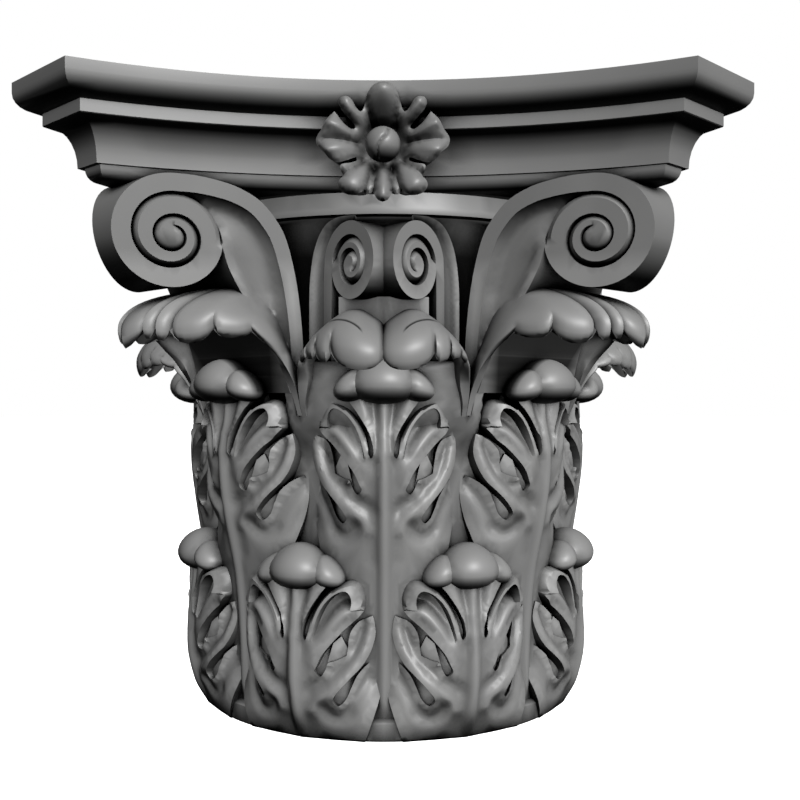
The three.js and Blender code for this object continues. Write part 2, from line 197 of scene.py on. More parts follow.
# %% Reliefs
def relief_plan(loop, lines, spacing, edge_rows=(), fine_from=-math.inf):
    """Triangles that fill an outline and follow the lines in it: (flat points, triangles, rim edges).

    edge_rows are distances from the rim at which further points follow it, above the height fine_from.
    """
    low, high = loop.min(0), loop.max(0)
    rows = np.arange(low[1], high[1], spacing * 0.87)
    columns = np.arange(low[0], high[0], spacing)
    grid = np.array([
        (x + spacing / 2 * (i % 2), y)
        for i, y in enumerate(rows)
        for j, x in enumerate(columns)
        if y > fine_from or (i % 4 == 0 and j % 4 == 0)
    ])
    grid = grid[inside(grid, loop)]
    ring = np.concatenate([loop, loop[:1]])
    for line in [ring, *lines]:
        grid = grid[distance(grid, line)[0] > 0.55 * spacing]
    for by in edge_rows:
        row = offset(loop, by, True)
        row = row[inside(row, loop) & (row[:, 1] > fine_from)]
        row = row[distance(row, ring)[0] > 0.85 * by]
        for line in lines:
            row = row[distance(row, line)[0] > 0.5 * by]
        gaps = np.linalg.norm(grid[:, None] - row, axis=-1).min(1)
        grid = np.concatenate([grid[gaps > 0.6 * spacing], row])
    edges = [(i, (i + 1) % len(loop)) for i in range(len(loop))]
    start = len(loop)
    for line in lines:
        edges += [(start + i, start + i + 1) for i in range(len(line) - 1)]
        start += len(line)
    spots = np.concatenate([loop, *lines, grid])
    found = delaunay_2d_cdt([Vector(spot) for spot in spots], edges, [], 0, 1e-4, False)
    flat = np.array([list(v) for v in found[0]])
    triangles = np.array(found[2])
    triangles = triangles[inside(flat[triangles].mean(1), loop)]
    sides = np.concatenate([triangles[:, [0, 1]], triangles[:, [1, 2]], triangles[:, [2, 0]]])
    both = {tuple(side) for side in sides.tolist()}
    rim = [side for side in both if side[::-1] not in both]
    used = np.unique(triangles)
    number = np.zeros(len(flat), int)
    number[used] = np.arange(len(used))
    return flat[used], number[triangles], [(number[a], number[b]) for a, b in rim]


def smoothed(plan, height, group, passes):
    """Heights evened out with those of the neighbours that are in the same group."""
    triangles = plan[1]
    sides = np.concatenate([triangles[:, [0, 1]], triangles[:, [1, 2]], triangles[:, [2, 0]]])
    sides = np.unique(np.sort(sides, axis=1), axis=0)
    sides = sides[group[sides[:, 0]] == group[sides[:, 1]]]
    ends = np.concatenate([sides, sides[:, ::-1]])
    count = np.maximum(np.bincount(ends[:, 0], minlength=len(height)), 1)
    for _ in range(passes):
        near = np.bincount(ends[:, 0], height[ends[:, 1]], len(height)) / count
        height = np.where(near == 0, height, 0.5 * height + 0.5 * near)
    return height


def relief(name, plan, front, back):
    """A block whose front and back follow two rules over the same flat plan."""
    flat, triangles, rim = plan
    n = len(flat)
    faces = [list(t) for t in triangles] + [[n + i for i in t[::-1]] for t in triangles]
    faces += [[b, a, n + a, n + b] for a, b in rim]
    return solid(name, np.concatenate([front(flat), back(flat)]), faces)


print("reliefs ready")


# %% Lofts, spheres and places
def loft(name, rings):
    """A solid through closed rings of points, flat at both ends."""
    count = len(rings[0])
    faces = [list(range(count))[::-1]]
    for level in range(len(rings) - 1):
        for i in range(count):
            j = (i + 1) % count
            low, high = level * count, (level + 1) * count
            faces.append([low + i, low + j, high + j, high + i])
    faces.append(list(range((len(rings) - 1) * count, len(rings) * count)))
    return solid(name, np.concatenate(rings), faces)


def sphere(name, segments, rings):
    """A sphere of radius 1 among the parts, and its points."""
    bpy.ops.object.select_all(action="DESELECT")
    bpy.ops.mesh.primitive_uv_sphere_add(segments=segments, ring_count=rings)
    piece = bpy.context.object
    piece.name = name
    for collection in piece.users_collection:
        collection.objects.unlink(piece)
    parts.objects.link(piece)
    return piece, np.array([v.co[:] for v in piece.data.vertices])


def polar(azimuth, radius, z):
    """Points at an azimuth from the front, a radius from the axis and a height."""
    return np.stack([radius * np.sin(azimuth), -radius * np.cos(azimuth), z], -1)


def rolled(flat, azimuth, wrap_radius, radius):
    """Flat points rolled round the axis: distances across count on the wrap radius."""
    return polar(azimuth + flat[:, 0] / wrap_radius, radius, flat[:, 1])


def on_side(face, sideways, forward, z):
    """Points on one of the four sides: sideways, forward from the axis, and height."""
    x = math.cos(face) * sideways + math.sin(face) * forward
    y = math.sin(face) * sideways - math.cos(face) * forward
    return np.stack([x, y, z], -1)


SIDES = [math.radians(90 * i) for i in range(4)]
print("solid helpers ready")

# %% [markdown]
# ## The bell
#
# A profile of a few edges, spun round the axis by a Screw modifier. The neck band is at its foot, where
# the capital sits on the shaft, and the lip is at its top, under the abacus.

# %% Bell
NECK_RADIUS = 178
NECK_BAND = 17
BELL_FOOT = 163
BELL_RADIUS = 166
LIP_RADIUS = 188
SOFFIT = 452
BELL_PROFILE = [
    (0, 0), (NECK_RADIUS - 1, 0), (NECK_RADIUS, 1.5), (NECK_RADIUS, NECK_BAND - 2),
    (NECK_RADIUS - 2, NECK_BAND), (BELL_FOOT, NECK_BAND + 6), (BELL_FOOT, 180), (BELL_RADIUS + 2, 222),
    (BELL_RADIUS, 300), (BELL_RADIUS - 4, 330), (BELL_RADIUS - 4, 370), (BELL_RADIUS - 1, 395),
    (BELL_RADIUS + 4, 414),
    (BELL_RADIUS + 11, 428), (BELL_RADIUS + 14, 432.5), (LIP_RADIUS - 2, 432.6), (LIP_RADIUS - 0.3, 433.6),
    (LIP_RADIUS, 435.5), (LIP_RADIUS - 0.6, 440), (LIP_RADIUS - 1.8, 444.5), (LIP_RADIUS - 3, 449),
    (LIP_RADIUS - 4, SOFFIT + 1), (0, SOFFIT + 1),
]
mesh = bpy.data.meshes.new("bell")
mesh.from_pydata(
    [(r * MM, 0, z * MM) for r, z in BELL_PROFILE],
    [(i, i + 1) for i in range(len(BELL_PROFILE) - 1)],
    [],
)
bell = bpy.data.objects.new("bell", mesh)
bpy.context.scene.collection.objects.link(bell)
bpy.ops.object.select_all(action="DESELECT")
bell.select_set(True)
bpy.context.view_layer.objects.active = bell
bpy.ops.object.modifier_add(type="SCREW")
bell.modifiers[0].steps = 128
bell.modifiers[0].use_merge_vertices = True
bpy.ops.object.modifier_apply(modifier=bell.modifiers[0].name)
bpy.ops.object.mode_set(mode="EDIT")
bpy.ops.mesh.select_all(action="SELECT")
bpy.ops.mesh.remove_doubles(threshold=0.01 * MM)
bpy.ops.mesh.normals_make_consistent(inside=False)
bpy.ops.object.mode_set(mode="OBJECT")
print("bell:", len(bell.data.polygons), "faces")

# %% [markdown]
# ## The abacus
#
# In plan it has four hollow sides and four cut corners. The mouldings follow that plan all the way round,
# so each level of the profile is the same plan moved inwards by the same distance.

# %% Abacus
HEIGHT = 528
HALF_WIDTH = 288
FRONT_CORNER = 226
MID_SIDE = 232


def arc(centre, size, start, end, count):
    """A quarter of a moulding as (inset, height) points, angles in degrees."""
    turns = np.radians(np.linspace(start, end, count))
    return [(centre[0] + size[0] * math.cos(t), centre[1] + size[1] * math.sin(t)) for t in turns]


ABACUS_PROFILE = (
    [(0, HEIGHT), (0, 520)]
    + arc((17, 520), (17, 15.3), 180, 270, 7)[1:]
    + [(18.5, 504.7), (18.5, 495.2), (19.2, 494.5)]
    + arc((22, 463), (18, 31.5), 90, 0, 8)
    + [(44.5, 463), (44.9, 460), (46, 457), (47.8, 454.5), (50, 452.8), (52, SOFFIT)]
)


def abacus_ring(inset, z, per_side=24):
    """The plan of the abacus at an inset, as one ring of points."""
    dip = HALF_WIDTH - MID_SIDE
    sweep = (FRONT_CORNER**2 + dip**2) / (2 * dip) + inset
    centre = MID_SIDE - inset + sweep
    gap = centre - (HALF_WIDTH + FRONT_CORNER - inset * math.sqrt(2))
    corner = (-gap + math.sqrt(2 * sweep**2 - gap**2)) / 2
    x = np.linspace(-corner, corner, per_side + 1)
    forward = centre - np.sqrt(sweep**2 - x**2)
    return np.concatenate([on_side(face, x, forward, np.full(len(x), z)) for face in SIDES])


abacus = loft("abacus", [abacus_ring(inset, z) for inset, z in ABACUS_PROFILE[::-1]])
print("abacus:", len(abacus.data.polygons), "faces")

# %% [markdown]
# ## The leaves
#
# One acanthus leaf is drawn flat: distance from its middle line across, height up. Its margin runs from
# the foot over three lobes, with a drop-shaped cut between each two, to the stalks below the tip. The
# carver's strokes give ridges and hollows, and the leaf is then wrapped round the bell, once per row.

# %% Leaf margin
LOW_LOBE = [(58, 0), (65, 19), (70.5, 35), (74, 49), (74.2, 57), (73, 64), (70.5, 69)]
LOW_CUT = [
    (70.5, 69), (64, 66.4), (57.5, 61.8), (51.4, 55), (47.2, 46.5), (42.2, 36), (36, 31.2),
    (32, 36), (39, 46.5), (47.6, 55.6), (56.5, 64.6), (63, 75), (67, 87.3), (66.8, 97), (64.9, 104.6),
]
MIDDLE_LOBE = [
    (64.9, 104.6), (58.7, 102.3), (51.9, 98.7), (46.8, 92.5), (44.8, 86), (44, 79), (42.9, 72.3),
]
MIDDLE_CUT = [
    (42.9, 72.3), (38, 70), (33, 68.2), (28.6, 67), (26.4, 61.5), (22.3, 55.7), (18, 59.5), (20.2, 65),
    (24.2, 73.5), (30.4, 81.8), (36.2, 88.4), (41.7, 94.2), (48.4, 99.9), (54, 105), (57.6, 109.2),
]
HOOD_EDGE = [
    (57.6, 109.2), (59.4, 115.2), (59.9, 119.9), (58, 125.8), (54.6, 130.3), (50, 132.9), (45.5, 133.3),
    (39.8, 131.8), (33, 128.3), (27, 123), (21.8, 116.5), (17.7, 109.5), (14.6, 102), (12.9, 95),
    (12.4, 89.5),
]
TOP_CUT = [
    (12.4, 89.5), (10.4, 85.5), (8.2, 88), (8.3, 94.5), (10.1, 102), (13.4, 109.5), (18, 117),
    (23.5, 125), (28.8, 131.7), (31, 140),
]
LEAF_TOP = [(31, 140), (0, 140)]
HOOD_CUT = [(57.6, 111.4), (47.3, 110.8)]
HOOD_LINE = [
    (47.3, 110.8), (48.2, 116), (47.2, 122), (43.5, 126), (38.5, 125.5), (32.5, 122), (27, 116.5),
    (22.5, 109.5), (19.3, 102), (17, 94), (15.2, 86),
]
HOOD_STEP = 1.3
HOOD_LIFT = 11
MIDRIB_LINES = (0, 2.4, 4.4, 6.1, 7.8)
MARGIN = [LOW_LOBE, LOW_CUT, MIDDLE_LOBE, MIDDLE_CUT, HOOD_EDGE, TOP_CUT, LEAF_TOP]
print("leaf margin:", sum(len(piece) for piece in MARGIN), "points")

# %% Floors and strokes of a leaf
# The floors of the cuts, and the small leaflets in the middle cut: outline, the point where the cut begins,
# depth there below the leaf, and depth where the cut is open
CUT_FLOORS = [
    ([(29, 33), (36, 27), (46, 33), (52, 46), (60, 61), (59, 70), (45, 58), (35, 47)], (36, 33), 3, 13),
    (
        [
            (15, 58), (22, 52), (30, 62), (45, 69), (50, 84), (57, 99), (61, 104), (55, 109), (38, 95),
            (26, 81),
        ],
        (22, 58), 4, 14,
    ),
    (
        [
            (6, 86), (10.5, 82), (15, 90), (18, 102), (26, 116), (36, 127), (33, 138), (24, 130), (14, 114),
            (8, 100),
        ],
        (10, 87), 3, 13,
    ),
    ([(26, 62), (42, 66), (44.5, 75), (38, 87.5), (31.5, 82)], (26, 62), 3, 6),
    ([(37, 68), (47, 74), (51, 90), (58, 102), (48, 101), (36, 91)], (37, 68), 7, 8),
]
CUT_LENGTH = 45

# Ridges and hollows of half a leaf
LEAF_STROKES = [
    ([(0, -140), (0, 140)], 4.6, 2.6, 4),
    ([(6.4, -140), (6.2, 0), (5.6, 96)], 2.2, -1.6, -2.4),
    ([(0, -140), (0, 100)], 13, 2, 2.5),
    ([(5.2, 96), (6.6, 112), (8.5, 140)], 2.8, -3, -6),
    ([(8, 98), (11, 110), (16, 122), (24, 137)], 4.6, 2, 7),
    ([(15, 72), (25, 90), (35, 101), (44, 107.5), (53, 108)], 6, 2, 8),
    ([(43, 119.5), (38, 118.5), (33, 114.5), (27, 107.5), (22.5, 98.5), (18.5, 88)], 4.2, -9, -4),
    ([(14, 26), (25, 40), (37, 51), (50, 64.5), (58.5, 78), (62, 91), (63, 99)], 4.5, 3, 7),
    ([(33, 60), (44, 71), (52, 84), (56, 95)], 5.5, -4, -5),
    ([(46, 30), (54, 45), (63, 58), (67, 63)], 6, -3, -6),
    ([(22, 30), (27, 23), (36, 19.5), (45, 24)], 5, -4, -4),
    ([(12, 44), (24, 51)], 6, -4, -4),
    ([(11, 0), (11, 60), (8, 84)], 4, -2, -2),
]
print("carving of half a leaf:", len(LEAF_STROKES), "strokes and", len(CUT_FLOORS), "floors")

# %% Leaf plan
RIM_HEIGHT = 2.6
RIM_WIDTH = 2.2
EDGE_ROWS = (0.9, 1.9, 3.2)
SMOOTHING = 4
LEAF_STEP = 1.6
FOOT_STEP = 12
FOOT_FADE = 22


def leaf_plan(foot, spacing):
    """The flat leaf of one row: triangles, and the height of the carving over the leaf's ground."""
    half = chain(MARGIN, LEAF_STEP)
    if foot:
        half = np.concatenate([trace(foot + LOW_LOBE[:1], FOOT_STEP)[:-1], half])
    loop = mirrored(np.concatenate([[(0, half[0, 1])], half]))
    loop = loop[np.linalg.norm(loop - np.roll(loop, 1, 0), axis=1) > 1e-6]
    hood = np.concatenate([trace(HOOD_CUT), trace(HOOD_LINE)[1:]])
    lines = [hood, offset(hood, HOOD_STEP)]
    lines += [trace([(s, half[0, 1] + 2), (s, 104)], spacing) for s in MIDRIB_LINES]
    flip = np.array((-1, 1))
    lines += [line * flip for line in lines if line[0, 0] > 0]
    plan = relief_plan(loop, lines, spacing, EDGE_ROWS, -60)
    spots = np.abs(plan[0] * (1, 0)) + plan[0] * (0, 1)
    height = strokes(spots, LEAF_STROKES)
    height *= ramp(spots[:, 1], half[0, 1] - 4, half[0, 1] + FOOT_FADE)
    for cut in (LOW_CUT, MIDDLE_LOBE, MIDDLE_CUT, TOP_CUT):
        height += RIM_HEIGHT * np.exp(-((distance(spots, trace(cut))[0] / RIM_WIDTH) ** 2))
    edge = trace(HOOD_EDGE)
    to_hood, along = distance(spots, hood)
    to_edge = distance(spots, edge)[0]
    in_hood = inside(spots, np.concatenate([hood, edge[::-1]])) | (to_hood < 0.3)
    crest = to_edge / (to_edge + to_hood + 1e-6)
    lift = (2 + HOOD_LIFT * (1 - along)) * (0.25 + 0.75 * np.sin(crest * math.pi / 2))
    return plan, smoothed(plan, np.where(in_hood, lift, height), in_hood, SMOOTHING)


print("leaf plan ready")

# %% [markdown]
# The two rows differ only in how the middle of the leaf stands off the bell, and in the long foot of the
# upper leaves, which shows between the lower ones. The tips are rounded lobes that turn over the leaf.

# %% Leaf rows
LEAF_RADIUS = 190
CORE_RADIUS = 150
ROWS = [
    {
        "name": "lower leaf",
        "rise": 0,
        "first": 22.5,
        "foot": [],
        "middle": through(
            [(0, 178.4), (12, 183), (28, 188.5), (50, 193.5), (85, 193.5), (105, 191), (145, 191)]
        ),
        "curve": 0.0045,
        "settle": (0, 60),
        "bulb": 181,
        "drop": 5,
        "sink": 0,
    },
    {
        "name": "upper leaf",
        "rise": 149,
        "first": 0,
        "foot": [(46, -135), (50, -60), (53, -20)],
        "middle": through([
            (-135, 172), (-60, 175), (-20, 179), (0, 183), (26, 189), (52, 194), (88, 196.5), (110, 193),
            (145, 192),
        ]),
        "curve": 0.005,
        "settle": (-40, 40),
        "bulb": 195,
        "drop": 0,
        "sink": 5,
    },
]
LEAF_SPACING = 2.4
# Rounded lobes of the tip: sideways, height, then half width, half depth and half height
TIP_LOBES = [
    {"s": 0, "z": 148, "size": (27, 26, 20.5), "segments": 28, "lean": 0},
    {"s": 25.5, "z": 144.5, "size": (14.5, 18, 14.5), "segments": 22, "lean": -0.3},
    {"s": -25.5, "z": 144.5, "size": (14.5, 18, 14.5), "segments": 22, "lean": 0.3},
]
print("leaves in two rows:", [row["name"] for row in ROWS])


# %% Leaf shapes
def tip_lobe(name, azimuth, row, lobe, sink):
    """A rounded lobe, widest low down, made from a sphere and wrapped round the bell."""
    piece, points = sphere(name, lobe["segments"], lobe["segments"] // 2)
    across, out, up = points.T
    wide, deep, tall = lobe["size"]
    up = np.where(up < 0, 0.9 * up, up)
    sideways = lobe["s"] + wide * across * (1 - 0.2 * up) + lobe["lean"] * tall * up
    radius = row["bulb"] - sink + deep * out * (1 - 0.1 * up)
    z = row["rise"] - row["drop"] + lobe["z"] + tall * up
    points = polar(azimuth + sideways / LEAF_RADIUS, radius, z)
    piece.data.vertices.foreach_set("co", (points * MM).ravel())
    turn_outwards(piece.data)


def wrap(row, azimuth, flat, height):
    """Points of a flat leaf wrapped round the bell: the height stands on the leaf's own curved ground."""
    s, z = flat.T
    ground = row["middle"](z) - row["curve"] * s**2 * ramp(z, *row["settle"])
    return polar(azimuth + s / LEAF_RADIUS, ground + height, row["rise"] + z)


def core(row, azimuth, flat):
    """The back of a leaf, inside the bell."""
    s, z = flat.T
    return polar(azimuth + s / LEAF_RADIUS, CORE_RADIUS + 0 * s, row["rise"] + z)


print("leaf shapes ready")

# %% Leaves round the bell
floors = []
for outline, eyelet, first, last in CUT_FLOORS:
    loop = chain([[p, q] for p, q in zip(outline, outline[1:] + outline[:1])], 4)[:-1]
    for hand in (1, -1):
        plan = relief_plan((loop * (hand, 1))[::hand], [], 5)
        way = np.linalg.norm(plan[0] - np.array(eyelet) * (hand, 1), axis=1)
        floors.append((plan, -first - (last - first) * ramp(way, 0, CUT_LENGTH)))

for row in ROWS:
    plan, carving = leaf_plan(row["foot"], LEAF_SPACING)
    for i in range(8):
        azimuth = math.radians(row["first"] + 45 * i)
        # Upper leaves in the middle of a side stand a little less than those at the corners
        sink = row["sink"] if i % 2 == 0 else 0
        fall = sink * ramp(plan[0][:, 1], -40, 60)
        relief(
            row["name"],
            plan,
            lambda flat: wrap(row, azimuth, flat, carving - fall),
            lambda flat: core(row, azimuth, flat),
        )
        for floor_plan, floor_height in floors:
            relief(
                "cut floor",
                floor_plan,
                lambda flat: wrap(row, azimuth, flat, floor_height - sink),
                lambda flat: core(row, azimuth, flat),
            )
        for lobe in TIP_LOBES:
            tip_lobe(row["name"] + " tip", azimuth, row, lobe, sink)
    print(row["name"], len(plan[1]), "triangles on the face")

# %% [markdown]
# ## The collar and the calyx leaves
#
# A low wall runs round the bell behind the upper tips, with a narrow slot between each two calyx leaves.
# The calyx leaves are canopies under the scrolls: four at the corners and four in the middle of the
# sides. Each is a curved sheet with rounded lobes, and its two feet come down beside the slots.

# %% Collar
WALL_FOOT = 225
WALL_TOP = 314
COLLAR_WALL = through(
    [(WALL_FOOT, 164), (245, 172), (262, 180), (280, 184.5), (300, 187), (WALL_TOP, 187)]
)
SLOT_EDGE = [(0, 268), (2.3, 269.5), (2.9, 273), (4, 285), (5.5, 300), (7, WALL_TOP)]
SLOT_RIM = 2.6
SLOT_LIP = 1.6
CORNER_HOLLOW = 20
SECTOR = LEAF_RADIUS * math.radians(22.7)

slot = trace(SLOT_EDGE, 3)
wall = np.array(
    [(SECTOR, WALL_TOP), (SECTOR, WALL_FOOT), (-SECTOR, WALL_FOOT), (-SECTOR, WALL_TOP)]
)
slot_loop = np.concatenate([wall, slot[:0:-1] * (-1, 1), slot])[::-1]
rim_line = offset(slot, -SLOT_RIM)[1:]
collar_plan = relief_plan(slot_loop, [rim_line, rim_line * (-1, 1)], 6)
both_edges = np.concatenate([slot[:0:-1] * (-1, 1), slot])
slot_gap = distance(collar_plan[0], both_edges)[0]
slot_lip = SLOT_LIP * (1 - ramp(slot_gap, 1.2, SLOT_RIM))
for i in range(8):
    azimuth = math.radians(22.5 + 45 * i)
    # The wall is cut back under the corner canopies, which lie to the left and right of it in turn
    to_corner = collar_plan[0][:, 0] * (1 if i % 2 == 0 else -1)
    relieved = slot_lip - CORNER_HOLLOW * ramp(to_corner, 12, 26)
    piece = relief(
        "collar",
        collar_plan,
        lambda flat: rolled(flat, azimuth, LEAF_RADIUS, COLLAR_WALL(flat[:, 1]) + relieved),
        lambda flat: rolled(flat, azimuth, LEAF_RADIUS, CORE_RADIUS),
    )
print("collar sector:", len(piece.data.polygons), "faces")

# %% Calyx forms
MARGIN_ROWS = [0.875, 0.905, 0.935, 0.96, 0.98, 0.993, 1]
CORNER_CALYX = {
    "name": "corner calyx",
    "half": math.radians(23.2),
    "reach": through([(0, 295), (0.2, 283), (0.4, 263), (0.6, 235), (0.75, 212), (0.9, 193), (1, 184)]),
    "margin": through(
        [(0, 323), (0.12, 330), (0.3, 326), (0.5, 331), (0.62, 329), (0.75, 317), (0.87, 297), (1, 269)]
    ),
    "top": through(
        [(0, 377), (0.2, 379), (0.4, 377), (0.5, 369), (0.6, 360), (0.75, 334), (0.9, 303), (1, 273)]
    ),
    "root": through([(0, 0), (0.35, 0), (0.5, 20), (0.6, 45), (0.75, 60), (0.9, 25), (1, 0)]),
    "rows": np.concatenate([np.linspace(0, 0.84, 18), MARGIN_ROWS]),
    "notches": [-0.1, 0.1, 0.165, 0.235, 0.42, 0.585, 1],
    "creases": through([(0, 0.1), (0.2, 0.15), (0.25, 0.3), (0.33, 0.68), (0.42, 0.76), (1, 0.78)]),
    "sharpness": 4,
    "depth": 6,
}
CENTRE_CALYX = {
    "name": "centre calyx",
    "half": math.radians(21.8),
    "reach": through(
        [(0, 244), (0.16, 247), (0.32, 242), (0.48, 230), (0.6, 219), (0.68, 211), (0.8, 198), (1, 183)]
    ),
    "margin": through([
        (0, 306), (0.16, 305), (0.32, 310), (0.48, 314), (0.6, 313), (0.68, 309), (0.8, 297), (0.9, 283),
        (1, 268),
    ]),
    "top": through([
        (0, 346), (0.1, 353), (0.2, 358), (0.32, 356), (0.48, 343), (0.6, 330), (0.68, 320), (0.8, 303),
        (1, 271),
    ]),
    "root": through([(0, 0), (1, 0)]),
    "rows": np.concatenate([np.linspace(0, 0.84, 22), MARGIN_ROWS]),
    "notches": [0, 0.32, 0.44, 0.55, 0.66, 1],
    "creases": through([(0, 0.1), (0.16, 0.5), (0.32, 0.66), (1, 0.66)]),
    "sharpness": 6,
    "depth": 4,
}
CALYX_TURN = through([(0, 0), (0.2, 0.27), (0.4, 0.56), (0.6, 0.8), (0.75, 0.93), (0.9, 0.99), (1, 1)])
CALYX_INNER = 160
CALYX_BACK = 11
CALYX_EDGE = 9
CALYX_FOOT = 6
THINNEST = 0.6
ROUNDED_FROM = 0.86
NOTCH_SHARE = 0.06
print("calyx forms:", CORNER_CALYX["name"], "and", CENTRE_CALYX["name"])


# %% Calyx leaves
def lobe_columns(notches, per_unit=50):
    """Places across half a calyx leaf, closer together near the notches."""
    places = []
    for low, high in zip(notches, notches[1:]):
        count = max(5, round((high - low) * per_unit))
        swing = (1 - np.cos(np.pi * np.arange(count + 1) / count)) / 2
        places.append(low + (high - low) * swing)
    places = np.unique(np.round(np.concatenate(places), 6))
    return places[places >= 0]


def creased(t, notches, sharpness):
    """How far each place is into a crease: 0 in the middle of a lobe and 1 at a notch."""
    edges = np.array(notches)
    i = np.clip(np.searchsorted(edges, t, side="right") - 1, 0, len(edges) - 2)
    q = 2 * (t - edges[i]) / (edges[i + 1] - edges[i]) - 1
    return np.clip(q, -1, 1) ** sharpness


def calyx(form, azimuth):
    """A canopy: a grid of points over and under, from one foot to the other."""
    half = lobe_columns(form["notches"])
    places = np.concatenate([-half[:0:-1], half])
    across, along = np.meshgrid(places, form["rows"])
    t = np.abs(across)
    foot = ramp(t, 0.6, 0.85)
    crease = creased(t, form["notches"], form["sharpness"]) * (1 - foot)
    upright = math.pi / 2 * ramp(t, 0.55, 0.95)
    bend = math.pi / 2 * along * (1 - NOTCH_SHARE * crease)
    reach, margin, top = form["reach"](t), form["margin"](t), form["top"](t)
    # Beside the stems the leaf rises from a low root before it turns over
    root = form["root"](t) * (1 - np.sin(bend)) ** 1.5
    edge = np.sqrt(1 - np.clip((along - ROUNDED_FROM) / (1 - ROUNDED_FROM), 0, 1) ** 2)
    body = CALYX_BACK + (CALYX_EDGE - CALYX_BACK) * along + (CALYX_FOOT - CALYX_BACK) * ramp(t, 0.75, 1)
    full = body * (edge + (1 - edge) * foot)
    first = form["creases"](t)
    carved = form["depth"] * crease * ramp(along, first, first + 0.35)
    layers = []
    for under in (0, 1):
        # The margin is rounded: over and under draw together in the middle of the thickness
        thick = (body - full) / 2 + under * np.maximum(full, THINNEST)
        sunk = carved * (1 - under) + thick * np.cos(upright)
        radius = CALYX_INNER + (reach - CALYX_INNER) * np.sin(bend) - sunk * np.sin(bend)
        z = margin + (top - margin) * np.cos(bend) ** 0.7 - sunk * np.cos(bend) - root
        turn = form["half"] * CALYX_TURN(t) - thick * np.sin(upright) / LEAF_RADIUS
        layers.append(polar(azimuth + np.sign(across) * turn, radius, z).reshape(-1, 3))
    rows = len(form["rows"]) - 1
    columns = len(places) - 1
    wide = columns + 1
    n = wide * (rows + 1)
    faces = []
    for j in range(rows):
        for i in range(columns):
            a = j * wide + i
            faces.append([a, a + 1, a + wide + 1, a + wide])
            faces.append([n + a + wide, n + a + wide + 1, n + a + 1, n + a])
    rim = [i for i in range(wide)] + [j * wide + columns for j in range(1, rows + 1)]
    rim += [rows * wide + i for i in range(columns - 1, -1, -1)] + [j * wide for j in range(rows - 1, 0, -1)]
    faces += [[rim[i], rim[i - 1], n + rim[i - 1], n + rim[i]] for i in range(len(rim))]
    return solid(form["name"], np.concatenate(layers), faces)


for face in SIDES:
    calyx(CORNER_CALYX, face + math.radians(45))
    piece = calyx(CENTRE_CALYX, face)
print("calyx leaf:", len(piece.data.polygons), "faces")

# %% [markdown]
# ## The scrolls
#
# A scroll is a spiral whose edge moves inwards with each turn. Its groove has a sharp outer lip
# and a rounded inner side. The corner volutes are blocks between two such faces, mirrored in the
# diagonal. The helices are smaller and lean together in the middle of each side.


# %% Spirals
class Scroll:
    """A spiral in its own plane, starting at the top and turning clockwise."""

    def __init__(self, eye, size, first, start, end, bevel, depth, rounding):
        """size gives the radius after a number of turns. first, start and end count turns too: where the
        edge begins, and where the groove begins and ends. The groove's rounded side is the bevel wide, and
        no wider than the share rounding of the radius."""
        self.eye, self.size = np.array(eye, float), size
        self.first, self.start, self.end = first, start, end
        self.bevel, self.depth, self.rounding = bevel, depth, rounding

    def line(self, first, last, inset=0.0, per_turn=56):
        """Points on the spiral's edge between two numbers of turns, moved inwards by the inset."""
        turns = np.linspace(first, last, max(2, round((last - first) * per_turn)))
        size = self.size(turns) - inset
        angle = 2 * math.pi * turns
        return self.eye + np.stack([size * np.sin(angle), size * np.cos(angle)], 1)

    def grooves(self):
        """The lines that the groove follows: its lip, its floor and both ends of its rounded side."""
        return [self.line(self.start, self.end, inset) for inset in (-0.05, 0.8, 1.8, self.bevel)]

    def carve(self, spots):
        """(whether each spot is on the scroll, the height of the carving there)"""
        dx, dz = (spots - self.eye).T
        share = np.arctan2(dx, dz) / (2 * math.pi) % 1
        away = np.hypot(dx, dz)
        # How many turns of the spiral pass outside each spot
        turns = share - 1
        for winding in range(4):
            turns += away <= self.size(share + winding) + 0.02
        inner = self.size(turns) - away
        fade = np.clip((self.end - turns) / 0.12, 0, 1) * np.clip((turns - self.start) / 0.04, 0, 1)
        inner *= np.maximum(1, self.bevel / (self.rounding * self.size(turns)))
        groove = np.interp(inner, [0, 0.8, 1.8, self.bevel], [-1, -1, -0.5, 0]) * self.depth * fade
        return turns >= self.first, np.where(turns < self.start, 0, groove)


print("spirals ready")

# %% Volute sizes
VOLUTE_TURN = math.radians(22)
VOLUTE_FORWARD = through([
    (55, 169), (75, 176), (100, 187), (120, 196), (135, 202), (150, 207.5), (166, 213), (190, 222.5),
    (218, 232),
])
# The faces lean forward with height, from the bottom of the scroll to its top
VOLUTE_LEAN = 0.155
VOLUTE_LEVELS = (372, 462)
VOLUTE_SIZE = through(
    [(-1, 64), (0, 47.9), (0.5, 40), (1, 34.2), (1.5, 25), (2, 17), (2.5, 12.4), (3, 8.4), (4, 4)]
)
VOLUTE = Scroll((166, 411.8), VOLUTE_SIZE, 0, 0.72, 3.0, 5, 7, 0.3)
STEM_INNER = [
    (65, 288), (67, 310), (68, 334), (70.5, 362), (75, 392), (81.5, 417), (90, 432), (101, 444), (117, 452.5),
    (133, 456.8), (150, 459.2), (166, 459.7),
]
STEM_OUTER = [VOLUTE.line(0, VOLUTE.start)[-1], (125, 389), (115, 368), (103, 350), (88, 318), (78, 288)]
CHANNEL_DEPTH = 4.5
RIM_STEP = 3.2
print("volute radius:", VOLUTE_SIZE(0), "mm")

# %% Volute carving
inner_edge = trace(STEM_INNER, 2.6)
outer_edge = trace(STEM_OUTER, 2.6)
outline = np.concatenate([inner_edge[:-1], VOLUTE.line(0, VOLUTE.start)[:-1], outer_edge])
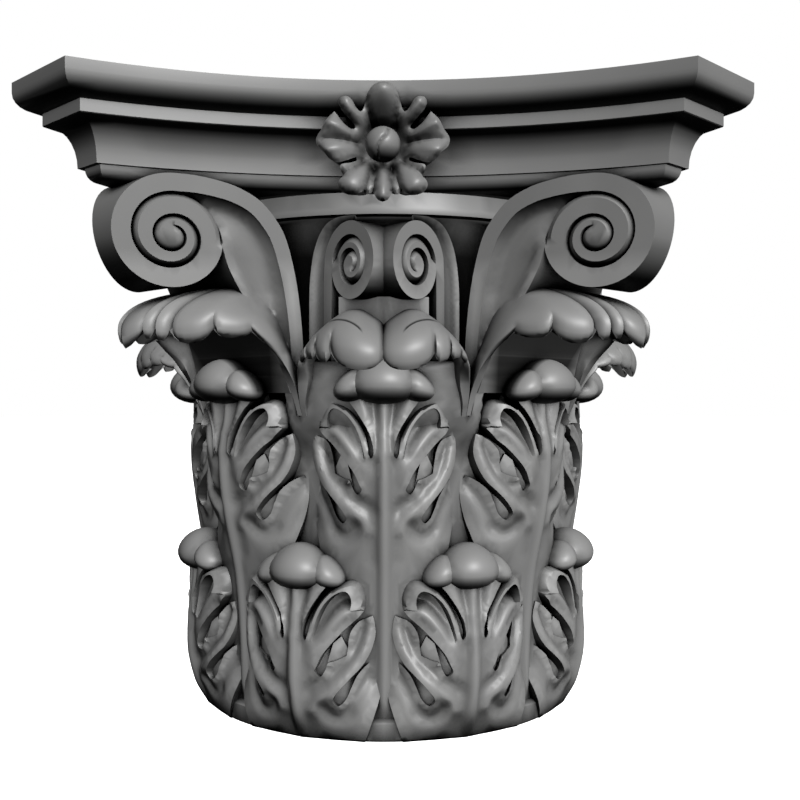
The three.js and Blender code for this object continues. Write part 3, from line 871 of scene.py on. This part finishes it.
# The rim of the stem widens from its foot to the top of the scroll, where it becomes the outer turn
rim_width = np.linspace(9, VOLUTE.size(0) - VOLUTE.size(1), len(inner_edge))[:, None]
rim_line = offset(inner_edge, -rim_width)
rim_line[-1] = VOLUTE.line(1, 1.1)[0]
bowl = np.concatenate([rim_line, VOLUTE.line(VOLUTE.start, 1)[-2::-1], outer_edge])
guides = [rim_line[2:-3], offset(rim_line, -1.2)[2:-3]]
volute_plan = relief_plan(outline[::-1], VOLUTE.grooves() + guides, 4.2)
on_scroll, carving = VOLUTE.carve(volute_plan[0])
in_bowl = inside(volute_plan[0], bowl)
from_rim = distance(volute_plan[0], rim_line)[0]
from_outer = distance(volute_plan[0], outer_edge)[0]
# A step down from the rim, then a hollow that is deepest near the rim
hollowed = ramp(from_rim, 1, 9) - 0.5 * ramp(from_rim, 9, 34)
channel = -RIM_STEP * ramp(from_rim, 0.2, 1.8) - CHANNEL_DEPTH * hollowed
channel *= ramp(from_outer, 3, 11)
carving = np.where(on_scroll, carving, np.where(in_bowl, channel, 0))
print("volute:", len(volute_plan[1]), "triangles on its face")


# %% Corner volutes
def volute_face(flat, height, swap, side):
    """The turned face of a volute, or its mirror image in the diagonal."""
    x, z = flat.T
    sideways = x - height * math.sin(VOLUTE_TURN)
    lean = VOLUTE_LEAN * (np.clip(z, *VOLUTE_LEVELS) - VOLUTE.eye[1])
    forward = VOLUTE_FORWARD(x) + lean + height * math.cos(VOLUTE_TURN)
    return on_side(side, forward, sideways, z) if swap else on_side(side, sideways, forward, z)


for side in SIDES:
    piece = relief(
        "volutes",
        volute_plan,
        lambda flat: volute_face(flat, carving, False, side),
        lambda flat: volute_face(flat, carving, True, side),
    )
print("volute pair:", len(piece.data.polygons), "faces")

# %% Helices
HELIX_TURN = math.radians(45)
HELIX_EDGE = (9.7, 212)
HELIX_EYE = 24.7
HELIX_SQUEEZE = 0.86
HELIX_SIZE = through([(-1, 45.5), (3, 1.5)])
HELIX = Scroll((0, 392.5), HELIX_SIZE, -0.22, 0.76, 2.5, 6.5, 9, 2.0)
BELL_STEM = 175
STEM_LEVEL = through([(300, 175), (390, 175.5), (410, 178), (424, 183), (436, 189)])
strip = np.array([(-26.8, 300), (-37.5, 300), (-37.5, 340), (-37.5, 378)])
helix_loop = np.concatenate([strip, HELIX.line(HELIX.first, HELIX.start)])
helix_plan = relief_plan(helix_loop[::-1], HELIX.grooves(), 3.0)
helix_carving = HELIX.carve(helix_plan[0])[1]


def helix_face(flat, height, hand, side):
    """The turned face of a helix. The scroll's own sideways axis points to the middle of the side."""
    along = HELIX_EYE - HELIX_SQUEEZE * flat[:, 0]
    sideways = HELIX_EDGE[0] + along * math.cos(HELIX_TURN) + height * math.sin(HELIX_TURN)
    forward = HELIX_EDGE[1] - along * math.sin(HELIX_TURN) + height * math.cos(HELIX_TURN)
    return on_side(side, hand * sideways, forward, flat[:, 1])


def helix_back(flat, hand, side):
    """The back of a helix, just past the middle of the side."""
    along = HELIX_EYE - HELIX_SQUEEZE * flat[:, 0]
    reach = (HELIX_EDGE[0] + along * math.cos(HELIX_TURN) + 0.5) / math.sin(HELIX_TURN)
    return helix_face(flat, -reach, hand, side)


STEM_RIGHT = [(64, 300), (64, 372), (61.5, 396), (56, 413), (46.5, 426), (36, 431.5), (22, 433)]
STEM_LEFT = [(22, 421), (35, 415), (42.5, 402), (44, 382), (42, 300)]
STEM_HOLLOW = 3
stem_right = trace(STEM_RIGHT)
stem_left = trace(STEM_LEFT)
stem_plan = relief_plan(np.concatenate([stem_right, stem_left]), [], 3.0)
from_right = distance(stem_plan[0], stem_right)[0]
from_left = distance(stem_plan[0], stem_left)[0]
stem_relief = -STEM_HOLLOW * ramp(from_right, 3, 7) * ramp(from_left, 2, 5)

for side in SIDES:
    for hand in (-1, 1):
        relief(
            "helix",
            helix_plan,
            lambda flat: helix_face(flat, helix_carving, hand, side),
            lambda flat: helix_back(flat, hand, side),
        )
        relief(
            "helix stem",
            stem_plan,
            lambda flat: rolled(flat, side, hand * BELL_STEM, STEM_LEVEL(flat[:, 1]) + stem_relief),
            lambda flat: rolled(flat, side, hand * BELL_STEM, CORE_RADIUS),
        )
print("helix:", len(helix_plan[1]), "triangles on its face")

# %% Helix block
# The plain block that the helices rise from
BLOCK_HALF = 37
BLOCK_LEVELS = (330, 366)
BLOCK_RADIUS = 189
for side in SIDES:
    turns = side + np.linspace(-1, 1, 9) * BLOCK_HALF / BLOCK_RADIUS
    rings = []
    for z in BLOCK_LEVELS:
        outer = polar(turns, BLOCK_RADIUS, np.full(9, z))
        inner = polar(turns[::-1], CORE_RADIUS, np.full(9, z))
        rings.append(np.concatenate([outer, inner]))
    piece = loft("helix block", rings)
print("helix block:", len(piece.data.polygons), "faces")

# %% [markdown]
# ## The flowers
#
# One flower stands in front of the mouldings in the middle of each side. Its petals are drawn flat like
# the leaves, dished towards the middle, with a ball in the centre.

# %% Flower outline
FLOWER_HEIGHT = 479
FLOWER_FORWARD = 231
FLOWER_BACK = 178
FLOWER_UNDERCUT = 0.72
PETAL_EDGE = 3
BALL_RADIUS = 13.7
BALL_CUT = [([(4.4, 11), (3.4, 6), (0, 2), (-3.2, -2.5), (-4.4, -8), (-4, -12)], 1.2, -1.6, -1.6)]
FLOWER_EDGE = [
    [(0, -45.4), (3.2, -44.3), (5.6, -41.2), (7.9, -35.8)],
    [(7.9, -35.8), (9.2, -38.1), (12.6, -38.5), (14.7, -36)],
    [(14.7, -36), (17.2, -38.1), (23.8, -40), (31, -37.5), (34.4, -33), (34, -29.6), (30.2, -24.3)],
    [(30.2, -24.3), (31.9, -21.6), (32.6, -16.6), (26, -14.2), (20.4, -11), (20.6, -8.8), (27, -12)],
    [
        (27, -12), (34.8, -14.7), (40.7, -12.2), (45.2, -7), (50.4, -1.2), (51.7, 3.5), (50.6, 7), (46.5, 12),
        (42, 19.4), (37, 24.4),
    ],
    [
        (37, 24.4), (34, 20.4), (30.2, 15.8), (24.4, 11.9), (21, 13.8), (23.5, 17), (28, 21.4), (31.9, 26),
        (34, 31.2), (32.4, 35.3), (28.2, 35.9), (23.8, 33.2), (20.9, 28), (17.2, 25), (14.7, 28.5), (13, 35),
        (9.9, 40.7), (6, 44.6), (0, 46),
    ],
]
FLOWER_DISH = through([(0, -10), (14, -10), (22, -3), (34, 5), (44, 6), (52, 1)])
FLOWER_STROKES = [
    ([(0, 24), (0, 40)], 9, 4, 7),
    ([(8.5, 14), (12, 26), (13, 34)], 2.6, -7, -4),
    ([(14, 16), (22, 22), (29, 32)], 4, 0, 5),
    ([(19, 2.6), (48, 3.7)], 1.6, -4, -3),
    ([(24, 8), (42, 15)], 4.5, 2, 5),
    ([(24, -3), (43, -6)], 4.5, 2, 4),
    ([(5.6, -16), (6.6, -26), (7.6, -36)], 1.7, -6, -8),
    ([(8, -15), (10.6, -26), (13.6, -37)], 1.9, -6, -8),
    ([(16, -11), (31, -24)], 2.4, -6, -5),
    ([(13, -17), (24, -32)], 8, 1, 4),
    ([(0, -18), (0, -42)], 4.4, 3, 5),
]
print("carving of half a flower:", len(FLOWER_STROKES), "strokes")

# %% Flower carving
half = chain(FLOWER_EDGE, 1.8)
flower_loop = mirrored(half)
flower_loop = flower_loop[np.linalg.norm(flower_loop - np.roll(flower_loop, 1, 0), axis=1) > 1e-6]
grooves = [trace(line, 1.6) for line, width, first, last in FLOWER_STROKES if width < 3]
grooves += [offset(line, by) for line in grooves for by in (-1.7, 1.7)]
grooves += [line * (-1, 1) for line in grooves]
flower_plan = relief_plan(flower_loop, grooves, 1.7, (1.0, 2.2))
spots = np.abs(flower_plan[0] * (1, 0)) + flower_plan[0] * (0, 1)
petals = FLOWER_DISH(np.hypot(*spots.T)) + strokes(spots, FLOWER_STROKES)
from_edge = distance(flower_plan[0], np.concatenate([flower_loop, flower_loop[:1]]))[0]
petals -= PETAL_EDGE * (1 - np.clip(from_edge / PETAL_EDGE, 0, 1)) ** 2
petals = smoothed(flower_plan, petals, np.zeros(len(petals)), 2)
print("flower:", len(flower_plan[1]), "triangles on its face")


# %% Flowers
def flower_back(flat, side):
    """The back of a flower, smaller than its front, so that the petals are undercut."""
    x, z = FLOWER_UNDERCUT * flat.T
    return on_side(side, x, np.full(len(x), FLOWER_BACK), FLOWER_HEIGHT + z)


for side in SIDES:
    relief(
        "flower",
        flower_plan,
        lambda flat: on_side(side, flat[:, 0], FLOWER_FORWARD + petals, FLOWER_HEIGHT + flat[:, 1]),
        lambda flat: flower_back(flat, side),
    )
    ball, points = sphere("flower ball", 60, 34)
    points *= BALL_RADIUS
    cut = strokes(points[:, [0, 2]], BALL_CUT) * ramp(-points[:, 1], 0, 4)
    points *= 1 + cut[:, None] / BALL_RADIUS
    x, y, z = points.T
    points = on_side(side, x, FLOWER_FORWARD - y, FLOWER_HEIGHT + z)
    ball.data.vertices.foreach_set("co", (points * MM).ravel())
print("flower ball:", len(ball.data.polygons), "faces")

# %% [markdown]
# ## One carved block
#
# A Boolean modifier joins the bell with everything in the collection, so that the capital is one closed
# mesh with nothing hidden inside it. Edges sharper than the angle stay crisp.

# %% Join
SHARP_ANGLE = math.radians(42)
MOST_TRIANGLES = 190_000
bpy.ops.object.select_all(action="DESELECT")
bell.select_set(True)
bpy.context.view_layer.objects.active = bell
join = bell.modifiers.new("join", "BOOLEAN")
join.operation = "UNION"
join.solver = "MANIFOLD"
join.operand_type = "COLLECTION"
join.collection = parts
bpy.ops.object.modifier_apply(modifier="join")
for piece in list(parts.objects):
    bpy.data.objects.remove(piece)
capital = bell
capital.name = "carved_capital"
capital.data.name = "carved_capital"
bpy.ops.object.mode_set(mode="EDIT")
bpy.ops.mesh.select_all(action="SELECT")
bpy.ops.mesh.quads_convert_to_tris()
bpy.ops.object.mode_set(mode="OBJECT")
print("before thinning:", len(capital.data.polygons), "triangles")
thin = capital.modifiers.new("thin", "DECIMATE")
thin.ratio = min(1, MOST_TRIANGLES / len(capital.data.polygons))
bpy.ops.object.modifier_apply(modifier="thin")
bpy.ops.object.shade_smooth_by_angle(angle=SHARP_ANGLE)
print("capital:", len(capital.data.polygons), "triangles")

# %% [markdown]
# ## Stone
#
# Grey limestone with faint clouds. The picture's light throws no shadows, and yet its hollows are nearly
# black, so shade is painted into the stone's colour: in narrow hollows, on undersides, on the deep ground
# behind the scrolls, in the caves under the corner canopies and in creases. Edges get painted highlights.


# %% Material helpers
def colour(code):
    """A hex sRGB colour as linear numbers."""
    values = [int(code[i:i + 2], 16) / 255 for i in (1, 3, 5)]
    linear = [v / 12.92 if v <= 0.04045 else ((v + 0.055) / 1.055) ** 2.4 for v in values]
    return (*linear, 1)


def node(tree, kind, settings=None, links=None):
    """Adds a node, sets its inputs or properties and links sockets into it."""
    made = tree.nodes.new(kind)
    for key, value in (settings or {}).items():
        if isinstance(key, int) or key in made.inputs:
            made.inputs[key].default_value = value
        else:
            setattr(made, key, value)
    for key, socket in (links or {}).items():
        tree.links.new(socket, made.inputs[key])
    return made


stone = bpy.data.materials.new("grey limestone")
stone.use_nodes = True
tree = stone.node_tree


def combine(first, second, operation="MULTIPLY"):
    """Two values multiplied, or joined by another operation."""
    return node(tree, "ShaderNodeMath", {"operation": operation}, {0: first, 1: second}).outputs[0]


def slide(value, start, end, first=0.0, last=1.0):
    """Goes evenly from first to last while the value goes from start to end."""
    limits = {"From Min": start, "From Max": end, "To Min": first, "To Max": last}
    return node(tree, "ShaderNodeMapRange", limits, {"Value": value}).outputs[0]


def opposite(value):
    """1 where a value is 0, and 0 where it is 1."""
    return slide(value, 0.0, 1.0, 1.0, 0.0)


def above(value, edge):
    """0 below a soft edge and 1 above it. The edge is where the rise starts and ends, in millimetres."""
    return slide(value, edge[0] * MM, edge[1] * MM)


def band(value, low, high):
    """1 between two soft edges and 0 outside them."""
    return combine(above(value, low), opposite(above(value, high)))


print("material helpers ready")

# %% Painted shade in hollows and painted highlights on edges
CLOUD_MM = 60
HOLLOW_MM = 55
place = node(tree, "ShaderNodeTexCoord").outputs["Object"]
geometry = node(tree, "ShaderNodeNewGeometry")
clouds = node(tree, "ShaderNodeTexNoise", {"Scale": 1 / (CLOUD_MM * MM), "Detail": 3.0}, {"Vector": place})
tint = node(tree, "ShaderNodeMix", {"data_type": "RGBA"}, {"Factor": clouds.outputs["Fac"]})
tint.inputs[6].default_value = colour("#5f5f5f")
tint.inputs[7].default_value = colour("#686867")
hollow = node(tree, "ShaderNodeAmbientOcclusion", {"Distance": HOLLOW_MM * MM, "samples": 8})
# Painted shade: the colour darkens where the surface sees little open space within the distance
painted_hollow_shade = slide(hollow.outputs["AO"], 0.24, 0.72)

# Painted highlights on sharp edges and painted shade in creases, by how sharp the surface is. Only the
# carving below the scrolls gets the highlights, not the flat mouldings above it
EDGE_LIGHT_MOST = 1.4
MOULDINGS_FROM = (385, 400)
level = node(tree, "ShaderNodeSeparateXYZ", links={"Vector": place}).outputs["Z"]
sharp_edge_shading = slide(geometry.outputs["Pointiness"], 0.43, 0.57, 0.55, EDGE_LIGHT_MOST)
most = slide(above(level, MOULDINGS_FROM), 0.0, 1.0, EDGE_LIGHT_MOST, 1.0)
painted_edge_shading = combine(sharp_edge_shading, most, "MINIMUM")

# The lip and the upper leaf tips get no painted hollow shade: the lip by its radius and height, the tips by
# theirs
LIP_BAND = (176, 179), (190, 194)
LIP_LEVELS = (430, 433), (455, 460)
TIP_FROM = (196, 203)
TIP_LEVELS = (280, 286), (318, 326)
flat_place = node(tree, "ShaderNodeVectorMath", {"operation": "MULTIPLY", 1: (1, 1, 0)}, {0: place})
from_axis = node(tree, "ShaderNodeVectorMath", {"operation": "LENGTH"}, {0: flat_place.outputs[0]})
radius = from_axis.outputs["Value"]
on_lip = combine(band(radius, *LIP_BAND), band(level, *LIP_LEVELS))
on_tip = combine(above(radius, TIP_FROM), band(level, *TIP_LEVELS))
painted_hollow_shade = combine(painted_hollow_shade, combine(on_lip, on_tip, "MAXIMUM"), "MAXIMUM")
print("grime:", len(tree.nodes), "nodes so far")

# %% Painted shade
# Painted shade on undersides, and on the ground near the axis between the leaf tips and the lip
GROUND_TO = (167, 177)
GROUND_LEVELS = (262, 285), (448, 456)
facing = node(tree, "ShaderNodeSeparateXYZ", links={"Vector": geometry.outputs["Normal"]}).outputs["Z"]
underside = slide(facing, -0.85, -0.22, 0.06, 1.0)
ground = slide(above(radius, GROUND_TO), 0.0, 1.0, 0.1, 1.0)
open_air = combine(opposite(above(level, GROUND_LEVELS[0])), above(level, GROUND_LEVELS[1]), "MAXIMUM")
painted_deep_shade = combine(underside, combine(ground, open_air, "MAXIMUM"))

# Deep painted shade in the caves under the corner canopies: on their walls, and on the roof where it looks
# down
CAVE_FROM = (84, 96)
CAVE_LEVELS = (278, 290), (318, 328)
ROOF_LEVELS = (312, 320), (348, 356)
upright = node(tree, "ShaderNodeVectorMath", {"operation": "ABSOLUTE"}, {0: place})
spot = node(tree, "ShaderNodeSeparateXYZ", links={"Vector": upright.outputs[0]})
sideways = combine(spot.outputs["X"], spot.outputs["Y"], "MINIMUM")
forward = combine(spot.outputs["X"], spot.outputs["Y"], "MAXIMUM")
near_corner = above(sideways, CAVE_FROM)
in_cave = combine(combine(near_corner, band(level, *CAVE_LEVELS)), opposite(on_tip))
on_roof = combine(combine(near_corner, band(level, *ROOF_LEVELS)), slide(facing, -0.4, -0.12, 1.0, 0.0))
in_cave = combine(in_cave, on_roof, "MAXIMUM")

# It also paints a curved line of shade, as of a cut, in each middle lobe of the centre canopies: an arc, seen
# from its side
LINE_CENTRE = (36.5 * MM, 318.7 * MM, 0)
LINE_RADII = (25.1, 25.7), (26.3, 27.5)
LINE_ACROSS = (15, 18), (38, 47)
LINE_LEVEL = (331, 333)
LINE_FORWARD = (200, 204)
flat_spot = node(tree, "ShaderNodeCombineXYZ", links={"X": sideways, "Y": level}).outputs[0]
to_line = node(tree, "ShaderNodeVectorMath", {"operation": "DISTANCE", 1: LINE_CENTRE}, {0: flat_spot})
in_line = combine(band(to_line.outputs["Value"], *LINE_RADII), band(sideways, *LINE_ACROSS))
in_line = combine(in_line, combine(above(level, LINE_LEVEL), above(forward, LINE_FORWARD)))
thick = combine(in_cave, in_line, "MAXIMUM")
painted_deep_shade = combine(painted_deep_shade, slide(thick, 0.0, 1.0, 1.0, 0.15))
print("soot:", len(tree.nodes), "nodes so far")

# %% Stone put together
GLOSS = 0.4
# All the painted shade together: it darkens the colour and dims the specular
painted_shade = combine(painted_deep_shade, painted_hollow_shade)
links = {"Vector": tint.outputs[2], "Scale": combine(painted_edge_shading, painted_shade)}
toned = node(tree, "ShaderNodeVectorMath", {"operation": "SCALE"}, links)
shine = node(tree, "ShaderNodeMath", {"operation": "MULTIPLY", 1: GLOSS}, {0: painted_shade})
shader = tree.nodes["Principled BSDF"]
shader.inputs["Roughness"].default_value = 0.48
tree.links.new(toned.outputs[0], shader.inputs["Base Color"])
tree.links.new(shine.outputs[0], shader.inputs["Specular IOR Level"])
capital.data.materials.clear()
capital.data.materials.append(stone)
print("stone:", len(tree.nodes), "nodes")

# %% Floor paint
# White to the camera, but dark to all other rays, so that it hardly lights the undersides
floor_paint = bpy.data.materials.new("pale studio floor")
floor_paint.use_nodes = True
paint = floor_paint.node_tree
floor_shader = paint.nodes["Principled BSDF"]
floor_shader.inputs["Roughness"].default_value = 0.9
floor_shader.inputs["Specular IOR Level"].default_value = 0.0
floor_shader.inputs["Emission Color"].default_value = colour("#ffffff")
seen = node(paint, "ShaderNodeLightPath").outputs["Is Camera Ray"]
floor_tint = node(paint, "ShaderNodeMix", {"data_type": "RGBA"}, {"Factor": seen})
floor_tint.inputs[6].default_value = colour("#303030")
floor_tint.inputs[7].default_value = colour("#fbfbfb")
paint.links.new(floor_tint.outputs[2], floor_shader.inputs["Base Color"])
paint.links.new(seen, floor_shader.inputs["Emission Strength"])
print("materials ready")

# %% [markdown]
# ## In the frame
#
# The block rides on the part's only body and stands for the CAD solid.

# %% Frame
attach(capital, "root")
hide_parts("capital")
print("capital set in the frame")

# %% [markdown]
# ## Floor, light and camera
#
# A white floor and surround, and two soft suns that throw no shadows: the stronger in front, to the right
# and above, and a weaker one behind, level with the capital, for views from the back.

# %% Stage
bpy.ops.object.select_all(action="DESELECT")
bpy.ops.mesh.primitive_plane_add(size=30, location=(0, 0, 0))
floor = bpy.context.object
floor.name = "studio_floor"
floor.data.materials.append(floor_paint)

world = bpy.data.worlds.new("studio")
bpy.context.scene.world = world
world.use_nodes = True
sky = world.node_tree
for old in list(sky.nodes):
    sky.nodes.remove(old)
WHITE = (1, 1, 1, 1)
ray = node(sky, "ShaderNodeLightPath")
dim = node(sky, "ShaderNodeBackground", {"Color": WHITE, "Strength": 0.02})
white = node(sky, "ShaderNodeBackground", {"Color": WHITE, "Strength": 1.0})
links = {"Fac": ray.outputs["Is Camera Ray"], 1: dim.outputs[0], 2: white.outputs[0]}
mix = node(sky, "ShaderNodeMixShader", links=links)
node(sky, "ShaderNodeOutputWorld", links={"Surface": mix.outputs[0]})
print("floor and surround ready")

# %% Lights and camera
TARGET = Vector((0, 0, 0.28))
SUN_ANGLE = math.radians(15)


def soft_sun(name, spot, power):
    """A soft sun that throws no shadows and shines on the capital from a spot."""
    bpy.ops.object.light_add(type="SUN", location=spot)
    lamp = bpy.context.object
    lamp.name = name
    lamp.data.energy = power
    lamp.data.angle = SUN_ANGLE
    lamp.data.use_shadow = False
    lamp.rotation_euler = (TARGET - Vector(spot)).to_track_quat("-Z", "Y").to_euler()
    return lamp


soft_sun("key light", (0.65, -1.45, 1.2), 6.6)
back = soft_sun("back light", (-0.75, 1.5, 0.28), 4.0)
# Without this, the back light would glint on the edges that the camera sees
back.visible_glossy = False

# The camera stands where the abacus and the neck look as they do in the picture
bpy.ops.object.camera_add(location=(0.0132, -1.005, 0.282), rotation=(math.radians(90), 0, 0))
camera = bpy.context.object
camera.data.lens = 45.2
camera.data.sensor_width = 36
bpy.context.scene.camera = camera
bpy.context.scene.view_settings.view_transform = "Standard"
print("stage ready")
